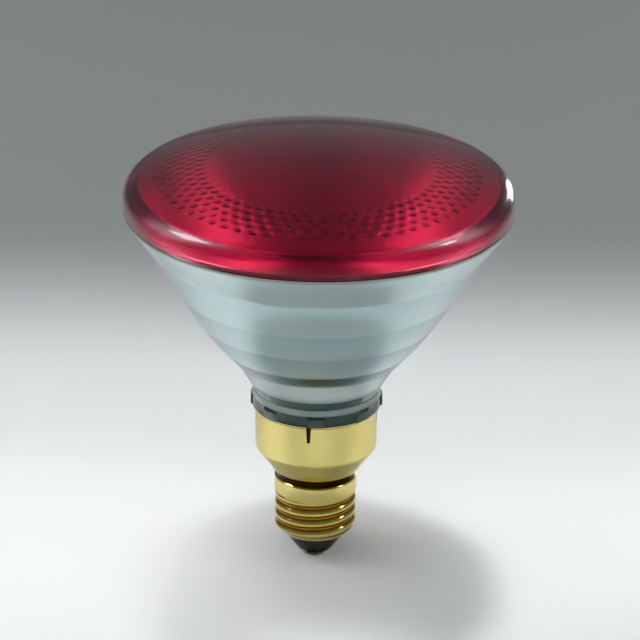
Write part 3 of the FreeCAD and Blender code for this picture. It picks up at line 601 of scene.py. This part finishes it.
# The shell is rolled from thin brass sheet, so its wall keeps its thickness over the
# crests and in the roots of the thread. Its flared top seats in the skirt's cone.
FOOT = 7.4
FOOT_RADIUS = 10.6
THREAD_START = 7.8
COLLAR_FOOT = 22.0
PITCH = 3.63
ROOT = 12.05
DEPTH = 0.95
SHEET = 0.35
BLEND = 0.15
collar_levels = [22.05, 22.3, 24.0, 26.3, 26.6, 26.75, 26.9, 27.1, 27.5, 28.6, 29.5, 29.8, 30.1, 31.1]
levels = np.concatenate([np.linspace(FOOT, 21.9, 92), collar_levels])
shell_angles = np.arange(216) * np.pi / 108
z = levels[:, None]
# The thread is a cosine that climbs one pitch a turn. It dies out into the taper below,
# by a smooth least of the two radii, and into the run-out above, by a smooth greatest.
phase = (z - THREAD_START) / PITCH - shell_angles / (2 * np.pi)
crest = ROOT + DEPTH * (0.5 + 0.5 * np.cos(2 * np.pi * phase))
taper = FOOT_RADIUS + (z - FOOT) * 2.4 / 2.5
run_out = np.interp(levels, [20.6, 21.05, COLLAR_FOOT, 26.5, 26.7, 27.05, 29.6, 30.05, 31.1],
                    [8.0, 12.05, 13.1, 13.1, 13.0, 12.5, 12.5, 13.55, 14.3])[:, None]
wave = 0.5 * (crest + taper - np.hypot(crest - taper, BLEND))
outside = np.where(z < COLLAR_FOOT, 0.5 * (wave + run_out + np.hypot(wave - run_out, BLEND)), run_out)
slope = np.gradient(outside, axis=0) / np.gradient(levels)[:, None]
inside = outside - SHEET * np.sqrt(1 + np.minimum(slope, 1.2) ** 2)
shell_r = np.vstack([outside, inside[::-1]]) * MM
shell_z = np.concatenate([levels, levels[::-1]]) * MM
shell = turned("rolled_screw_shell", shell_r, shell_z, shell_angles, sharp=math.radians(50))
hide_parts("screw_shell")
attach(shell, "root")

# Bright brass, with painted shade in the thread's valleys, on its inner side and in the
# waist, and a fine dark line where the skirt's edge is crimped. Each band is a middle
# height and a reach up and down from it, in millimetres.
THREAD_BAND = (15.15, 6.35)
WAIST_BAND = (28.45, 1.5)
CRIMP_BAND = (50.6, 0.12)
VALLEY_RADIUS = 12.2333
FLANK_RADIUS = 12.9
brass, tree, wires = finish("drawn_brass", ((0.95, 0.84, 0.37), (0.86, 0.70, 0.27)),
                            (0.11, 0.20), 110, 4, (0.10, 0.0002), 1.0)
place, height, arm = place_on_lamp(tree, wires)


def in_band(middle, reach):
    """1 on the brass within a reach of the middle height, up or down, and 0 elsewhere."""
    off = worked(tree, wires, "Math", "SUBTRACT", height, middle * MM)
    return worked(tree, wires, "Math", "LESS_THAN", worked(tree, wires, "Math", "ABSOLUTE", off), reach * MM)


facing_out = worked(tree, wires, "VectorMath", "DOT_PRODUCT", arm, place.outputs["Normal"])
within = worked(tree, wires, "Math", "LESS_THAN", facing_out, 0.0)
reach = worked(tree, wires, "VectorMath", "LENGTH", arm)
above_valley = rising(tree, wires, reach, VALLEY_RADIUS * MM, FLANK_RADIUS * MM)
in_valley = worked(tree, wires, "Math", "SUBTRACT", 1.0, above_valley)
painted_valley_shade = worked(tree, wires, "Math", "MULTIPLY", in_valley, in_band(*THREAD_BAND))
colour = tree["uneven"].outputs["Colour"]
# Painted shade darkens the thread's valleys, the inner side and the waist; the crimp line is a dark joint.
for mask, shade_and_crimp_colour in ((painted_valley_shade, (0.42, 0.24, 0.10, 1)), (within, (0.15, 0.175, 0.15, 1)),
                    (in_band(*WAIST_BAND), (0.030, 0.020, 0.015, 1)),
                    (in_band(*CRIMP_BAND), (0.30, 0.22, 0.08, 1))):
    colour = mixed(tree, wires, colour, shade_and_crimp_colour, mask)
wires.new(colour, tree["Principled BSDF"].inputs["Base Color"])
shell.data.materials.append(brass)

# Skirt

# The skirt is drawn from brass sheet and slit at its top edge, where it is crimped on
# the glass keys. The solid's own form is true, so it only takes the brass.


def finish_node(name, material):
    """Gives a carried-over solid its material."""
    nodes[name].data.materials.clear()
    nodes[name].data.materials.append(material)


finish_node("skirt", brass)

# Cap insulator

# Dark glass is poured into the foot of the shell, and holds the centre contact clear
# of the brass. It keeps the faint flow marks of the pour.
finish_node("insulator", finish("black_poured_glass", ((0.045, 0.040, 0.036), (0.062, 0.055, 0.050)),
                                (0.10, 0.22), 160)[0])

# Centre contact and solder

# A stamped brass washer is held in the poured glass. A drop of tin solder closes its
# hole over the end of the centre wire, and another joins the second wire to the shell.
finish_node("centre_contact", brass)
solder_finish = finish("tin_solder", ((0.62, 0.63, 0.65), (0.52, 0.53, 0.55)), (0.22, 0.45), 700, 4,
                       (0.3, 0.0002), 1.0)[0]
for name in ("contact_solder", "shell_solder"):
    finish_node(name, solder_finish)

# Ferrules and cap wires

# Two drawn cups of nickel iron are sealed into the glass floor, where they carry the
# current through. A bare copper wire is soldered under each and leads down into the cap.
cup_finish = finish("oxidised_nickel_iron", ((0.42, 0.41, 0.40), (0.34, 0.33, 0.32)), (0.3, 0.5), 400,
                    metallic=1.0)[0]
for name in ("ferrule_left", "ferrule_right"):
    finish_node(name, cup_finish)
copper = finish("copper_lead", ((0.72, 0.36, 0.22), (0.60, 0.29, 0.17)), (0.25, 0.45), 400, metallic=1.0)[0]
for name in ("cap_wire_centre", "cap_wire_shell"):
    finish_node(name, copper)

# Lead rods, glass bridge and exhaust tube

# Stiff nickel rods are brazed upright in the cups and tied by a rod of clear glass.
# The tube under the floor, of the same glass, was sealed off once the bulb was filled.
rod_finish = finish("drawn_nickel", ((0.55, 0.54, 0.51), (0.47, 0.46, 0.43)), (0.2, 0.35), 400,
                    metallic=1.0)[0]
for name in ("lead_rod_left", "lead_rod_right"):
    finish_node(name, rod_finish)
for name in ("glass_bridge", "exhaust_tip"):
    finish_node(name, glass)

# Filament and its supports

# Fine tungsten wire is wound into one open coil, and its straight legs are clamped in
# the rods at the mirror's focus. Two hooks of the same metal stand in the bridge.
tungsten = finish("tungsten_wire", ((0.30, 0.30, 0.32), (0.25, 0.25, 0.27)), (0.3, 0.5), 2000,
                  metallic=1.0)[0]
for name in ("support_wire_left", "support_wire_right"):
    finish_node(name, tungsten)

# Lengths along the coil are measured from its middle, in millimetres.
TURNS = 26
STEPS_A_TURN = 18
HALF_WOUND = 6.75
LEG_START = 6.9
LEG_END = 8.25
LEG_EDGE = 0.5
COIL_RADIUS = 1.12
WIRE_RADIUS = 0.12
COIL_HEIGHT = 74.0
SIDES = 6


def wound_wire(along):
    """The coil's skin: rings of points carried along its winding centre line.

    The centre runs along x and turns about it at the coil's radius, which falls to
    nothing at the legs. Each ring lies square to the centre line's own direction.
    """
    wound = np.clip((along + HALF_WOUND) / (2 * HALF_WOUND), 0, 1) * TURNS * 2 * np.pi
    reach_out = COIL_RADIUS * window(np.abs(along), -1, LEG_START, LEG_EDGE)
    centre = np.stack([along, reach_out * np.sin(wound), COIL_HEIGHT + reach_out * np.cos(wound)], axis=-1)
    forward = np.gradient(centre, axis=0)
    forward /= np.linalg.norm(forward, axis=1, keepdims=True)
    side = np.cross(forward, np.array([1.0, 0.02, 0.0]))
    side /= np.linalg.norm(side, axis=1, keepdims=True)
    over = np.cross(forward, side)
    turn = (np.arange(SIDES) * 2 * np.pi / SIDES)[:, None]
    return centre[:, None] + WIRE_RADIUS * (side[:, None] * np.cos(turn) + over[:, None] * np.sin(turn))


skin = wound_wire(np.linspace(-LEG_END, LEG_END, TURNS * STEPS_A_TURN + 1))
index = np.arange(len(skin) * SIDES).reshape(-1, SIDES)
quads = np.stack([index[:-1], np.roll(index[:-1], -1, 1), np.roll(index[1:], -1, 1), index[1:]], -1)
faces = quads.reshape(-1, 4).tolist() + [index[0][::-1].tolist(), index[-1].tolist()]
coil = put_mesh("tungsten_coil", skin * MM, faces)
coil.data.materials.append(tungsten)
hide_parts("filament")
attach(coil, "root")
